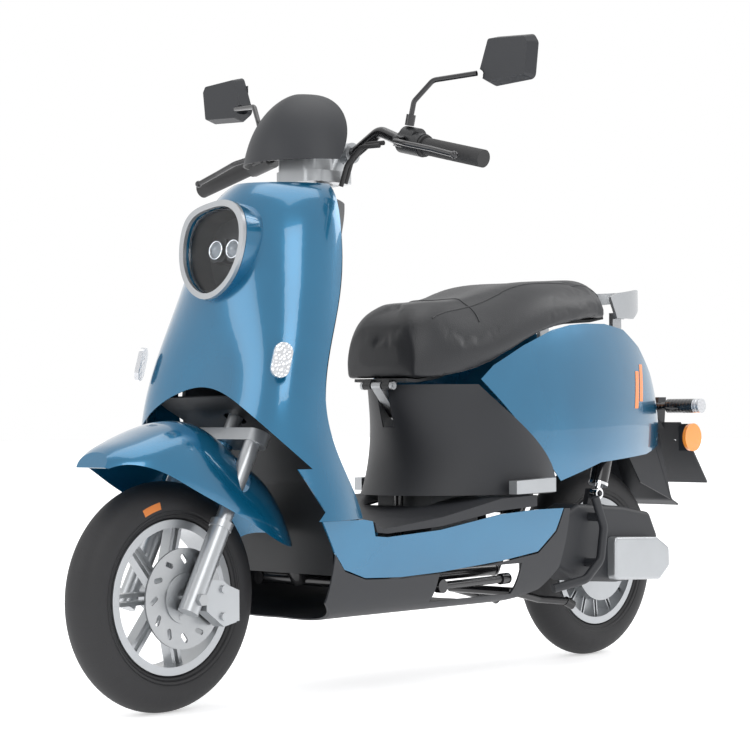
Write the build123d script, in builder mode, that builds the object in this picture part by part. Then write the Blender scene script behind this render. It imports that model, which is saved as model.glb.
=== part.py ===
from build123d import *
from math import cos, radians, sin
import os

os.makedirs("parts", exist_ok=True)

# ---------------------------------------------------------------------------
# Electric moped scooter, millimetres. +X is forward, +Y the rider's left, +Z up.
# The origin is on the ground, midway along the machine, on its centre plane.
# ---------------------------------------------------------------------------

# Driving dimensions
overall_length = 1760
wheelbase = 1222
tyre_radius = 205
tyre_width = 80
body_half = 203          # half the width across the leg shield and the deck
panel = 3                # wall of the moulded panels
rake = 28                # steering axis, degrees from upright
fork_offset = 12         # axle ahead of the steering axis
leg_spread = 85          # fork leg from the centre plane
stanchion_radius = 15
slider_radius = 19
steerer_radius = 14
headset_radius = 28
bar_radius = 11
grip_radius = 16.5
front_axle_radius = 6
rear_axle_radius = 8
bead_radius = 127        # 10 inch rim
flange_radius = 137.5
disc_radius = 89
disc_thickness = 4
shock_rod_radius = 6
running_fit = 0.05       # radial clearance of a shaft in its bore

# Places that follow from them
front_axle_x = overall_length / 2 - tyre_radius
rear_axle_x = front_axle_x - wheelbase
slope_sin = sin(radians(rake))
slope_cos = cos(radians(rake))
steer_origin = Vector(
    front_axle_x - fork_offset * slope_cos, 0, tyre_radius - fork_offset * slope_sin
)
steer = Plane(
    origin=steer_origin, x_dir=(slope_cos, 0, slope_sin), z_dir=(-slope_sin, 0, slope_cos)
)
front_axle = Vector(front_axle_x, 0, tyre_radius)
rear_axle = Vector(rear_axle_x, 0, tyre_radius)


def nose(dx, z):
    """A side-view point that moves with the front axle."""
    return (front_axle_x + dx, z)


def tail(dx, z):
    """A side-view point that moves with the rear axle."""
    return (rear_axle_x + dx, z)


def at(point, y):
    """A side-view point placed at a distance from the centre plane."""
    return Vector(point[0], y, point[1])


def on_steer(u, v, w):
    """A point given ahead of, beside and along the steering axis."""
    return steer.from_local_coords(Vector(u, v, w))


def write(piece, label):
    """Name a finished piece and write its STEP file."""
    piece.part.label = label
    export_step(piece.part, f"parts/{label}.step")


def tube(points, corner, radius):
    """A round tube or rod along a bent line."""
    with BuildPart(mode=Mode.PRIVATE) as piece:
        with BuildLine() as path:
            if len(points) == 2:
                Line(points[0], points[1])
            else:
                FilletPolyline(*points, radius=corner)
        with BuildSketch(Plane(origin=path.line @ 0, z_dir=path.line % 0)):
            Circle(radius)
        sweep(path=path.line)
    return piece.part


def rod(start, end, radius):
    """A straight round rod between two points."""
    return tube([start, end], 0, radius)


def welded(points, radius):
    """Straight tubes joined by welded corners."""
    with BuildPart(mode=Mode.PRIVATE) as piece:
        for start, end in zip(points, points[1:]):
            add(rod(start, end, radius))
        for corner in points[1:-1]:
            with Locations(corner):
                Sphere(radius + 1)
    return piece.part


def side_slab(points, y_from, y_to):
    """A plate with a side-view outline, between two distances from the centre plane."""
    with BuildPart(mode=Mode.PRIVATE) as piece:
        with BuildSketch(Plane(origin=(0, y_from, 0), x_dir=(1, 0, 0), z_dir=(0, -1, 0))):
            with BuildLine():
                Polyline(*points, close=True)
            make_face()
        extrude(amount=y_to - y_from, dir=(0, 1, 0))
    return piece.part


def side_strip(points, corner, wall, half):
    """A bent sheet of even thickness that runs across the machine."""
    with BuildPart(mode=Mode.PRIVATE) as piece:
        with BuildSketch(Plane(origin=(0, -half, 0), x_dir=(1, 0, 0), z_dir=(0, -1, 0))):
            with BuildLine():
                FilletPolyline(*points, radius=corner)
            trace(line_width=wall)
        extrude(amount=2 * half, dir=(0, 1, 0))
    return piece.part


def d_face(z, back_x, back_y, side_x, side_y, nose_x, inset=0, run_out=0):
    """A horizontal D section: straight across the back, curved round the front."""
    with BuildSketch(Plane.XY.offset(z), mode=Mode.PRIVATE) as section:
        with BuildLine():
            Spline(
                (back_x, back_y - inset),
                (side_x, side_y - inset),
                (nose_x - inset, 0),
                (side_x, -side_y + inset),
                (back_x, -back_y + inset),
            )
            if run_out:
                Line((back_x, -back_y + inset), (back_x - run_out, -back_y + inset))
                Line((back_x - run_out, back_y - inset), (back_x, back_y - inset))
            Line(
                (back_x - run_out, -back_y + inset),
                (back_x - run_out, back_y - inset),
            )
        make_face()
    return section.sketch


def d_shell(rows, wall, open_low=0, open_high=0, run_out=20):
    """A curved shield, open at its back, lofted through D sections."""
    with BuildPart(mode=Mode.PRIVATE) as piece:
        loft(sections=[d_face(*row) for row in rows])
        inner = [d_face(*row, inset=wall, run_out=run_out) for row in rows]
        low = rows[0]
        high = rows[-1]
        inner[0] = d_face(low[0] - open_low, *low[1:], inset=wall, run_out=run_out)
        inner[-1] = d_face(high[0] + open_high, *high[1:], inset=wall, run_out=run_out)
        loft(sections=inner, mode=Mode.SUBTRACT)
    return piece.part


def arch_face(x, low_z, high_z, half, inset=0, drop=0):
    """An upright arch section across the machine: flat below, crowned above."""
    rise = high_z - low_z
    with BuildSketch(Plane.YZ.offset(x), mode=Mode.PRIVATE) as section:
        with BuildLine():
            Spline(
                (half - inset, low_z - drop),
                ((half - inset) * 1.03, low_z + 0.45 * rise),
                ((half - inset) * 0.78, high_z - inset - 0.10 * rise),
                (0, high_z - inset),
                (-(half - inset) * 0.78, high_z - inset - 0.10 * rise),
                (-(half - inset) * 1.03, low_z + 0.45 * rise),
                (-(half - inset), low_z - drop),
            )
            Line((-(half - inset), low_z - drop), (half - inset, low_z - drop))
        make_face()
    return section.sketch


# ---------------------------------------------------------------------------
# Wheels
# ---------------------------------------------------------------------------
rim_half = 29            # inside of the flanges
flange = 3.5
barrel_wall = 4
spoke_half = 12
front_hub_radius = 27
front_hub_half = 30
disc_y = 60
motor_radius = 86
motor_half = 44
tread_wall = 9
bead_width = 9


def wheel_profile_plane(axle):
    """Radius along X, width along Y, through an axle."""
    return Plane(origin=axle, x_dir=(1, 0, 0), z_dir=(0, 0, 1))


def tyre(axle):
    """A tubeless tyre, hollow, with its beads inside the rim flanges."""
    half = tyre_width / 2
    bead = rim_half - 0.3
    with BuildPart(mode=Mode.PRIVATE) as piece:
        with BuildSketch(wheel_profile_plane(axle)):
            with BuildLine():
                Line((bead_radius + 0.3, bead), (flange_radius + 1, bead))
                Spline(
                    (flange_radius + 1, bead),
                    (flange_radius + 7, bead + 6),
                    (tyre_radius - 45, half),
                    (tyre_radius - 14, half - 9),
                    (tyre_radius, 0),
                    (tyre_radius - 14, 9 - half),
                    (tyre_radius - 45, -half),
                    (flange_radius + 7, -bead - 6),
                    (flange_radius + 1, -bead),
                )
                Line((flange_radius + 1, -bead), (bead_radius + 0.3, -bead))
                Line((bead_radius + 0.3, -bead), (bead_radius + 0.3, bead_width - bead))
                Spline(
                    (bead_radius + 0.3, bead_width - bead),
                    (flange_radius + 7, bead_width - bead - 4),
                    (tyre_radius - 42, 8 - half),
                    (tyre_radius - tread_wall, 0),
                    (tyre_radius - 42, half - 8),
                    (flange_radius + 7, bead + 4 - bead_width),
                    (bead_radius + 0.3, bead - bead_width),
                )
                Line((bead_radius + 0.3, bead - bead_width), (bead_radius + 0.3, bead))
            make_face()
        revolve(axis=Axis(axle, (0, 1, 0)))
    return piece.part


def rim_barrel(axle):
    """The rim's barrel with its two flanges."""
    outer_half = rim_half + flange
    with BuildPart(mode=Mode.PRIVATE) as piece:
        with BuildSketch(wheel_profile_plane(axle)):
            with BuildLine():
                Polyline(
                    (bead_radius - barrel_wall, -outer_half),
                    (flange_radius, -outer_half),
                    (flange_radius, -rim_half),
                    (bead_radius, -rim_half),
                    (bead_radius, rim_half),
                    (flange_radius, rim_half),
                    (flange_radius, outer_half),
                    (bead_radius - barrel_wall, outer_half),
                    close=True,
                )
            make_face()
        revolve(axis=Axis(axle, (0, 1, 0)))
    return piece.part


def drum(axle, radius, y_from, y_to):
    """A solid disc about an axle."""
    return rod(
        Vector(axle.X, y_from, axle.Z), Vector(axle.X, y_to, axle.Z), radius
    )


def spokes(axle, count, pair_spread, inner, half_width, half_depth):
    """Straight spokes, alone or in pairs, from the hub to the barrel."""
    face = Plane(origin=axle - Vector(0, half_depth, 0), x_dir=(1, 0, 0), z_dir=(0, 1, 0))
    length = bead_radius - barrel_wall / 2 - inner
    with BuildPart(mode=Mode.PRIVATE) as piece:
        with BuildSketch(face):
            with PolarLocations(0, count):
                with Locations((inner + length / 2, pair_spread), (inner + length / 2, -pair_spread)):
                    Rectangle(length, half_width * 2)
        extrude(amount=2 * half_depth)
    return piece.part


with BuildPart() as front_tyre:
    add(tyre(front_axle))
write(front_tyre, "front_tyre")

with BuildPart() as front_rim:
    add(rim_barrel(front_axle))
    add(drum(front_axle, front_hub_radius, -front_hub_half, front_hub_half))
    add(drum(front_axle, disc_radius * 0.58, front_hub_half - 6, disc_y - disc_thickness / 2))
    add(spokes(front_axle, 7, 7.5, front_hub_radius - 4, 3.5, spoke_half))
    add(
        drum(front_axle, front_axle_radius + running_fit, -leg_spread, leg_spread),
        mode=Mode.SUBTRACT,
    )
write(front_rim, "front_rim")

slot_count = 12
with BuildPart() as brake_disc:
    add(
        drum(front_axle, disc_radius, disc_y - disc_thickness / 2, disc_y + disc_thickness / 2)
    )
    add(drum(front_axle, disc_radius * 0.5, disc_y, disc_y + disc_thickness / 2 + 3))
    add(drum(front_axle, disc_radius * 0.22, 0, leg_spread), mode=Mode.SUBTRACT)
    with BuildSketch(
        Plane(origin=front_axle, x_dir=(1, 0, 0), z_dir=(0, 1, 0)).offset(disc_y - disc_thickness)
    ):
        with PolarLocations(disc_radius * 0.78, slot_count):
            SlotOverall(20, 9, rotation=38)
    extrude(amount=2 * disc_thickness, mode=Mode.SUBTRACT)
    with BuildSketch(
        Plane(origin=front_axle, x_dir=(1, 0, 0), z_dir=(0, 1, 0)).offset(disc_y + disc_thickness / 2 + 2)
    ):
        with PolarLocations(disc_radius * 0.38, 5):
            Circle(5)
    extrude(amount=1.6)
write(brake_disc, "brake_disc")

with BuildPart() as rear_tyre:
    add(tyre(rear_axle))
write(rear_tyre, "rear_tyre")

with BuildPart() as rear_rim:
    add(rim_barrel(rear_axle))
    add(drum(rear_axle, motor_radius, -motor_half, motor_half))
    add(spokes(rear_axle, 15, 4.5, motor_radius - 4, 1.6, spoke_half + 6))
    add(
        drum(rear_axle, rear_axle_radius + running_fit, -leg_spread, leg_spread),
        mode=Mode.SUBTRACT,
    )
write(rear_rim, "rear_rim")

# ---------------------------------------------------------------------------
# Front fork: sliders, axle and caliper below; stanchions, yoke and steerer above
# ---------------------------------------------------------------------------
slider_foot = -26
slider_top = 150
bore_floor = 14
stanchion_foot = 62
yoke_low = 306
yoke_high = 330
bar_height = 938
headset_low = 385
headset_high = 560

with BuildPart() as fork_sliders:
    for side in (-1, 1):
        foot = on_steer(fork_offset, side * leg_spread, slider_foot)
        top = on_steer(fork_offset, side * leg_spread, slider_top)
        floor = on_steer(fork_offset, side * leg_spread, bore_floor)
        above = on_steer(fork_offset, side * leg_spread, slider_top + 5)
        collar = on_steer(fork_offset, side * leg_spread, slider_top - 14)
        add(rod(foot, top, slider_radius))
        add(rod(collar, top, slider_radius + 2))
        add(rod(floor, above, stanchion_radius + running_fit), mode=Mode.SUBTRACT)
    add(
        drum(front_axle, front_axle_radius + running_fit, -leg_spread - 30, leg_spread + 30),
        mode=Mode.SUBTRACT,
    )
write(fork_sliders, "fork_sliders")

axle_end = leg_spread + slider_radius + 6
with BuildPart() as front_axle_bolt:
    add(drum(front_axle, front_axle_radius, -axle_end, axle_end))
    with BuildSketch(
        Plane(origin=front_axle, x_dir=(1, 0, 0), z_dir=(0, 1, 0)).offset(leg_spread + slider_radius + 0.3)
    ):
        RegularPolygon(11, 6)
    extrude(amount=9)
    with BuildSketch(
        Plane(origin=front_axle, x_dir=(1, 0, 0), z_dir=(0, -1, 0)).offset(leg_spread + slider_radius + 0.3)
    ):
        RegularPolygon(11, 6)
    extrude(amount=9)
write(front_axle_bolt, "front_axle")

pad_gap = 2.5
caliper_face = leg_spread + 12
caliper_outline = [nose(-21, 34), nose(-60, 30), nose(-97, 2), nose(-92, -46), nose(-62, -52), nose(-21, -22)]
caliper_bridge = [nose(-64, 24), nose(-99, 10), nose(-99, -44), nose(-64, -46)]
with BuildPart() as caliper:
    add(side_slab([(x, z + tyre_radius) for x, z in caliper_outline], disc_y + 8.4, caliper_face))
    add(side_slab([(x, z + tyre_radius) for x, z in caliper_bridge], disc_y - 18, caliper_face))
    add(
        drum(
            front_axle,
            disc_radius + 2,
            disc_y - disc_thickness / 2 - pad_gap,
            disc_y + disc_thickness / 2 + pad_gap,
        ),
        mode=Mode.SUBTRACT,
    )
    leg_low = on_steer(fork_offset, leg_spread, slider_foot - 10)
    leg_high = on_steer(fork_offset, leg_spread, slider_top)
    add(rod(leg_low, leg_high, slider_radius + 0.3), mode=Mode.SUBTRACT)
    for dz in (14, -34):
        bolt = Vector(front_axle_x - 60, caliper_face - 1, tyre_radius + dz)
        add(rod(bolt, bolt + Vector(0, 6, 0), 7))
write(caliper, "caliper")

with BuildPart() as fork_uppers:
    for side in (-1, 1):
        add(
            rod(
                on_steer(fork_offset, side * leg_spread, stanchion_foot),
                on_steer(fork_offset, side * leg_spread, yoke_high),
                stanchion_radius,
            )
        )
    with BuildSketch(steer.offset(yoke_low)):
        with Locations((fork_offset / 2, 0)):
            SlotCenterToCenter(2 * leg_spread, 44, rotation=90)
    extrude(amount=yoke_high - yoke_low)
    add(rod(on_steer(0, 0, yoke_low), on_steer(0, 0, bar_height - 20), steerer_radius))
    add(rod(on_steer(0, 0, bar_height - 60), on_steer(0, 0, bar_height), steerer_radius + 8))
    add(rod(on_steer(0, -44, bar_height), on_steer(0, 44, bar_height), bar_radius + 9))
    add(
        rod(on_steer(0, -50, bar_height), on_steer(0, 50, bar_height), bar_radius + running_fit),
        mode=Mode.SUBTRACT,
    )
write(fork_uppers, "fork_uppers")

# ---------------------------------------------------------------------------
# Front fender: a pressed cap over the wheel, bolted under the yoke
# ---------------------------------------------------------------------------
fender_half = 108
fender_rows = [
    (-168, 148, 214, 88),
    (-120, 147, 252, 103),
    (-40, 146, 284, fender_half),
    (60, 145, 297, fender_half),
    (130, 144, 290, 103),
    (190, 141, 245, 90),
    (235, 136, 196, 66),
    (262, 130, 160, 38),
]


def fender_face(u, low_w, high_w, half, inset=0, drop=0):
    """An arch section of the fender, square to the steering frame's forward axis."""
    rise = high_w - low_w
    plane = Plane(
        origin=on_steer(u, 0, 0), x_dir=(0, 1, 0), z_dir=(slope_cos, 0, slope_sin)
    )
    with BuildSketch(plane, mode=Mode.PRIVATE) as section:
        with BuildLine():
            Spline(
                (half - inset, low_w - drop),
                ((half - inset) * 0.97, low_w + 0.5 * rise),
                ((half - inset) * 0.62, high_w - inset - 0.13 * rise),
                (0, high_w - inset),
                (-(half - inset) * 0.62, high_w - inset - 0.13 * rise),
                (-(half - inset) * 0.97, low_w + 0.5 * rise),
                (-(half - inset), low_w - drop),
            )
            Line((-(half - inset), low_w - drop), (half - inset, low_w - drop))
        make_face()
    return section.sketch


with BuildPart() as front_fender:
    loft(sections=[fender_face(*row) for row in fender_rows])
    inside = [fender_face(*row, inset=panel, drop=20) for row in fender_rows]
    inside[0] = fender_face(fender_rows[0][0] - 10, *fender_rows[0][1:], inset=panel, drop=20)
    inside[-1] = fender_face(fender_rows[-1][0] - panel, *fender_rows[-1][1:], inset=panel, drop=20)
    loft(sections=inside, mode=Mode.SUBTRACT)
    for side in (-1, 1):
        add(
            rod(
                on_steer(fork_offset, side * leg_spread, slider_top),
                on_steer(fork_offset, side * leg_spread, yoke_high + 40),
                slider_radius + 4,
            ),
            mode=Mode.SUBTRACT,
        )
    add(
        rod(on_steer(fork_offset / 2, 0, 270), on_steer(fork_offset / 2, 0, yoke_low - 0.3), 20)
    )
write(front_fender, "front_fender")

# ---------------------------------------------------------------------------
# Frame: head tube, down tube, deck rails and seat rails, welded in one piece
# ---------------------------------------------------------------------------
rail_y = 108
seat_rail_y = 60
rail_radius = 13
down_radius = 21
pivot = tail(312, 255)
shock_top = tail(47, 552)
shock_eye = tail(113, 356)
shock_y = 118
post_x = rear_axle_x + 600
post_top = 518
bracket_y = 50
bracket_outline = [tail(335, 225), tail(345, 330), tail(285, 345), tail(275, 290), tail(285, 232)]
deck_rail_z = 214

gusset_outline = [tail(42, 543), tail(128, 528), tail(98, 566), tail(42, 561)]
with BuildPart() as frame:
    add(rod(on_steer(0, 0, headset_low), on_steer(0, 0, headset_high), headset_radius))
    add(
        welded(
            [at(nose(-226, 596), 0), at(nose(-284, 470), 0), at(nose(-312, 380), 0),
             at(nose(-312, 280), 0), at(nose(-352, deck_rail_z), 0)],
            down_radius,
        )
    )
    for x in (nose(-352, 0)[0], post_x):
        add(rod(Vector(x, -rail_y, deck_rail_z), Vector(x, rail_y, deck_rail_z), rail_radius - 2))
    for side in (-1, 1):
        add(
            welded(
                [at(nose(-340, deck_rail_z), side * rail_y),
                 at(tail(430, deck_rail_z), side * (rail_y - 8)),
                 at(tail(300, 330), side * seat_rail_y),
                 at(tail(60, 612), side * (seat_rail_y + 6)),
                 at(tail(-70, 636), side * (seat_rail_y + 6))],
                rail_radius,
            )
        )
        add(side_slab(bracket_outline, side * bracket_y - 3, side * bracket_y + 3))
    add(rod(Vector(post_x, 0, deck_rail_z), Vector(post_x, 0, post_top), 9))
    add(rod(at(tail(300, 330), -seat_rail_y), at(tail(300, 330), seat_rail_y), rail_radius - 2))
    add(rod(at(shock_top, -shock_y - 12), at(shock_top, shock_y + 12), 8))
    for side in (-1, 1):
        add(side_slab(gusset_outline, side * (seat_rail_y + 5) - 3, side * (seat_rail_y + 5) + 3))
    add(rod(at(tail(-40, 632), -seat_rail_y), at(tail(-40, 632), seat_rail_y), rail_radius - 3))
    add(
        rod(on_steer(0, 0, headset_low - 5), on_steer(0, 0, headset_high + 5), headset_radius - 5),
        mode=Mode.SUBTRACT,
    )
write(frame, "frame")

race_height = 14
with BuildPart() as headset_bearings:
    for w in (headset_low + 2, headset_high - 2 - race_height):
        add(rod(on_steer(0, 0, w), on_steer(0, 0, w + race_height), headset_radius - 5.3))
        add(
            rod(on_steer(0, 0, w - 5), on_steer(0, 0, w + race_height + 5), steerer_radius + running_fit),
            mode=Mode.SUBTRACT,
        )
write(headset_bearings, "headset_bearings")

# ---------------------------------------------------------------------------
# Front bodywork: apron, headlamp, arch liner and leg shield
# ---------------------------------------------------------------------------
lamp_x = nose(-126, 826)
lamp_tilt = 8
lamp_half_width = 92
lamp_top = 92
lamp_drop = 92
lamp = Plane(
    origin=at(lamp_x, 0),
    x_dir=(0, 1, 0),
    z_dir=(cos(radians(lamp_tilt)), 0, sin(radians(lamp_tilt))),
)


def egg_face(plane, shrink):
    """The headlamp outline: an egg, broad at the top."""
    with BuildSketch(plane, mode=Mode.PRIVATE) as section:
        with BuildLine():
            Spline(
                (0, lamp_top - shrink),
                (lamp_half_width * 0.86 - shrink, lamp_top * 0.62 - shrink * 0.6),
                (lamp_half_width * 0.93 - shrink, 0),
                (0.58 * lamp_half_width - shrink * 0.7, -lamp_drop * 0.74 + shrink * 0.7),
                (0, -lamp_drop + shrink),
                (-0.58 * lamp_half_width + shrink * 0.7, -lamp_drop * 0.74 + shrink * 0.7),
                (-lamp_half_width * 0.93 + shrink, 0),
                (-lamp_half_width * 0.86 + shrink, lamp_top * 0.62 - shrink * 0.6),
                periodic=True,
            )
        make_face()
    return section.sketch


def egg_prism(start, end, shrink):
    """A straight length of the headlamp outline, measured along the lamp's axis."""
    with BuildPart(mode=Mode.PRIVATE) as piece:
        add(egg_face(lamp.offset(start), shrink))
        extrude(amount=end - start, dir=lamp.z_dir)
    return piece.part


apron_rows = [
    (337, front_axle_x - 310, body_half - 3, front_axle_x - 115, body_half - 18, front_axle_x - 70),
    (430, front_axle_x - 260, body_half - 2, front_axle_x - 115, body_half - 18, front_axle_x - 70),
    (520, front_axle_x - 220, body_half - 2, front_axle_x - 110, body_half - 24, front_axle_x - 82),
    (600, front_axle_x - 220, body_half - 5, front_axle_x - 126, body_half - 32, front_axle_x - 102),
    (680, front_axle_x - 250, body_half - 16, front_axle_x - 148, body_half - 48, front_axle_x - 114),
    (770, front_axle_x - 290, body_half - 36, front_axle_x - 176, body_half - 66, front_axle_x - 130),
    (860, front_axle_x - 309, body_half - 53, front_axle_x - 196, body_half - 88, front_axle_x - 152),
    (920, front_axle_x - 318, body_half - 72, front_axle_x - 215, body_half - 108, front_axle_x - 176),
    (955, front_axle_x - 326, body_half - 102, front_axle_x - 240, body_half - 138, front_axle_x - 205),
]
arch_side = [
    nose(-240, 277), nose(-196, 348), nose(-148, 421), nose(-98, 491), nose(-60, 520),
    nose(60, 520), nose(60, 200), nose(-240, 200),
]
with BuildPart() as front_apron:
    add(d_shell(apron_rows, panel, open_low=5))
    add(egg_prism(-70, -2, 0))
    add(egg_prism(-90, 10, 11), mode=Mode.SUBTRACT)
    add(side_slab(arch_side, -body_half - 20, body_half + 20), mode=Mode.SUBTRACT)
    with BuildSketch(Plane.YZ.offset(front_axle_x - 190)):
        with BuildLine():
            Spline(
                (-body_half - 10, 430), (-185, 485), (-120, 538), (0, 577),
                (120, 538), (185, 485), (body_half + 10, 430),
            )
            Line((body_half + 10, 430), (-body_half - 10, 430))
        make_face()
    extrude(amount=200, mode=Mode.SUBTRACT)
write(front_apron, "front_apron")

with BuildPart() as headlamp_unit:
    add(egg_prism(-70, -12, 12))
    add(egg_prism(-62, -11, 16), mode=Mode.SUBTRACT)
    for side in (-1, 1):
        with BuildSketch(lamp.offset(-62)):
            with Locations((side * 23, 8)):
                RectangleRounded(40, 44, 8)
        extrude(amount=26)
        with BuildSketch(lamp.offset(-36)):
            with Locations((side * 23, 8)):
                Circle(15)
        extrude(amount=6)
write(headlamp_unit, "headlamp_unit")

with BuildPart() as headlamp_lens:
    add(egg_prism(-11.7, -8, 12))
write(headlamp_lens, "headlamp_lens")

with BuildPart() as headlamp_ring:
    add(egg_prism(-1.7, 6, 1))
    add(egg_prism(-5, 10, 12), mode=Mode.SUBTRACT)
write(headlamp_ring, "headlamp_ring")

shield_rows = [
    (333, front_axle_x - 306, body_half - 9, front_axle_x - 325, 130, front_axle_x - 355),
    (420, front_axle_x - 262, body_half - 9, front_axle_x - 310, 120, front_axle_x - 352),
    (500, front_axle_x - 228, body_half - 9, front_axle_x - 275, 115, front_axle_x - 330),
    (600, front_axle_x - 228, body_half - 11, front_axle_x - 275, 105, front_axle_x - 332),
    (680, front_axle_x - 258, body_half - 22, front_axle_x - 305, 95, front_axle_x - 362),
    (770, front_axle_x - 298, body_half - 42, front_axle_x - 345, 88, front_axle_x - 402),
    (860, front_axle_x - 317, body_half - 60, front_axle_x - 375, 85, front_axle_x - 432),
    (925, front_axle_x - 326, body_half - 80, front_axle_x - 385, 82, front_axle_x - 446),
]


def shield_face(z, edge_x, edge_y, side_x, side_y, rear_x, shift=0):
    """A section of the inner leg shield: bowed to the rear, flat to the front."""
    with BuildSketch(Plane.XY.offset(z), mode=Mode.PRIVATE) as section:
        with BuildLine():
            Spline(
                (edge_x + shift, edge_y),
                (side_x + shift, side_y),
                (rear_x + shift, 0),
                (side_x + shift, -side_y),
                (edge_x + shift, -edge_y),
            )
            Line((edge_x + shift, -edge_y), (edge_x + shift, edge_y))
        make_face()
    return section.sketch


column_hole = 62
with BuildPart() as leg_shield:
    loft(sections=[shield_face(*row) for row in shield_rows])
    inner = [shield_face(*row, shift=panel) for row in shield_rows]
    inner[0] = shield_face(shield_rows[0][0] - 5, *shield_rows[0][1:], shift=panel)
    inner[-1] = shield_face(shield_rows[-1][0] + 5, *shield_rows[-1][1:], shift=panel)
    loft(sections=inner, mode=Mode.SUBTRACT)
write(leg_shield, "leg_shield")

liner_low = 232
liner_path = [
    nose(-112, 560), nose(-148, 538), nose(-232, 496), nose(-282, 400), nose(-284, 300), nose(-284, liner_low),
]
with BuildPart() as arch_liner:
    add(side_strip(liner_path, 22, panel, 150))
    add(rod(on_steer(0, 0, 300), on_steer(0, 0, 400), steerer_radius + 8), mode=Mode.SUBTRACT)
write(arch_liner, "arch_liner")

# ---------------------------------------------------------------------------
# Deck: floorboard, side skirts, belly pan and the power pack under the seat
# ---------------------------------------------------------------------------
deck_profile = [
    nose(-338, 329), nose(-362, 315), nose(-525, 331), tail(525, 360), tail(415, 364),
    tail(415, 342), tail(525, 337), nose(-520, 314), nose(-372, 307), nose(-345, 310),
]
with BuildPart() as floorboard:
    add(side_slab(deck_profile, -body_half, body_half))
    add(side_slab([(x, z - 4) for x, z in deck_profile], -body_half + 4, body_half - 4), mode=Mode.SUBTRACT)
    add(side_slab([tail(380, 300), tail(616, 300), tail(616, 400), tail(380, 400)], -80, 80), mode=Mode.SUBTRACT)
write(floorboard, "floorboard")

tub_outer = [(body_half, 342), (body_half - 4, 285), (body_half - 18, 222), (body_half - 48, 166), (body_half - 100, 148), (0, 146)]


def tub_skin():
    """The moulded skin that runs down from the deck's edge and under the belly."""
    left = tub_outer
    right = [(-y, z) for y, z in reversed(tub_outer[:-1])]
    inner_left = [(y - panel, z + (panel if y < body_half - 40 else 0)) for y, z in tub_outer[:-1]]
    inner_right = [(-y, z) for y, z in reversed(inner_left)]
    with BuildPart(mode=Mode.PRIVATE) as piece:
        with BuildSketch(Plane.YZ.offset(rear_axle_x + 300)):
            with BuildLine():
                Spline(*left, *right)
                Line((-body_half, 342), (-body_half + panel, 342))
                Spline(*reversed(inner_right), (0, 146 + panel), *reversed(inner_left))
                Line((body_half - panel, 342), (body_half, 342))
            make_face()
        extrude(amount=wheelbase - 300 - 180, dir=(1, 0, 0))
    return piece.part


skirt_outline = [
    nose(-204, 335), nose(-239, 278), nose(-270, 246), nose(-330, 227), nose(-425, 223),
    nose(-537, 226), tail(509, 238), tail(401, 251), tail(353, 291), tail(331, 335),
    tail(415, 335), tail(525, 330), nose(-520, 307), nose(-375, 300), nose(-342, 303),
    nose(-334, 331), nose(-310, 335),
]
belly_outline = [
    nose(-242, 273), nose(-273, 242), nose(-332, 224), nose(-425, 220), nose(-537, 223),
    tail(509, 235), tail(399, 247), tail(349, 288), tail(328, 334), tail(310, 334), tail(322, 215),
    tail(362, 172), tail(460, 140), nose(-300, 140), nose(-242, 186),
]
with BuildPart() as side_skirts:
    add(tub_skin())
    add(side_slab(skirt_outline, -body_half - 10, body_half + 10), mode=Mode.INTERSECT)
write(side_skirts, "side_skirts")

with BuildPart() as belly_pan:
    add(tub_skin())
    add(side_slab(belly_outline, -body_half - 10, body_half + 10), mode=Mode.INTERSECT)
    add(side_slab([nose(-535, 230), nose(-535, 168), tail(445, 168), tail(445, 230)], 120, body_half), mode=Mode.SUBTRACT)
write(belly_pan, "belly_pan")

with BuildPart() as power_pack:
    add(side_slab([tail(445, 232), tail(584, 232), tail(584, 500), tail(445, 500)], -72, 72))
    add(side_slab([nose(-560, 236), nose(-430, 236), nose(-430, 284), nose(-560, 284)], -60, 60))
write(power_pack, "power_pack")

# ---------------------------------------------------------------------------
# Seat: pedestal, base pan, cushion and the front hinge
# ---------------------------------------------------------------------------
hinge = tail(658, 582)
pedestal_rows = [
    (366, tail(290, 0)[0], 148, tail(560, 0)[0], 140, tail(650, 0)[0]),
    (400, tail(290, 0)[0], 148, tail(550, 0)[0], 138, tail(630, 0)[0]),
    (450, tail(300, 0)[0], 148, tail(540, 0)[0], 136, tail(622, 0)[0]),
    (520, tail(330, 0)[0], 152, tail(545, 0)[0], 124, tail(636, 0)[0]),
    (584, tail(360, 0)[0], 146, tail(560, 0)[0], 116, tail(646, 0)[0]),
]
front_edge_top = tail(520, 590)
front_edge_low = tail(293, 392)
with BuildPart() as seat_pedestal:
    add(d_shell(pedestal_rows, panel, open_low=5, open_high=5))
    add(
        side_slab(
            [tail(200, 300), tail(297, 392), tail(524, 590), tail(504, 650), tail(200, 650)],
            -body_half,
            body_half,
        ),
        mode=Mode.SUBTRACT,
    )
    add(side_slab([tail(590, 500), tail(690, 500), tail(690, 600), tail(590, 600)], -15, 15), mode=Mode.SUBTRACT)
write(seat_pedestal, "seat_pedestal")

cushion_rows = [
    (rear_axle_x + 22, 738, 784, 62),
    (rear_axle_x + 70, 730, 797, 104),
    (rear_axle_x + 160, 724, 800, 134),
    (rear_axle_x + 280, 704, 792, 146),
    (rear_axle_x + 390, 668, 774, 146),
    (rear_axle_x + 480, 628, 752, 138),
    (rear_axle_x + 560, 606, 744, 126),
    (rear_axle_x + 620, 598, 730, 108),
    (rear_axle_x + 652, 600, 700, 86),
]
with BuildPart() as seat_cushion:
    loft(sections=[arch_face(*row) for row in cushion_rows])
write(seat_cushion, "seat_cushion")

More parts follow.
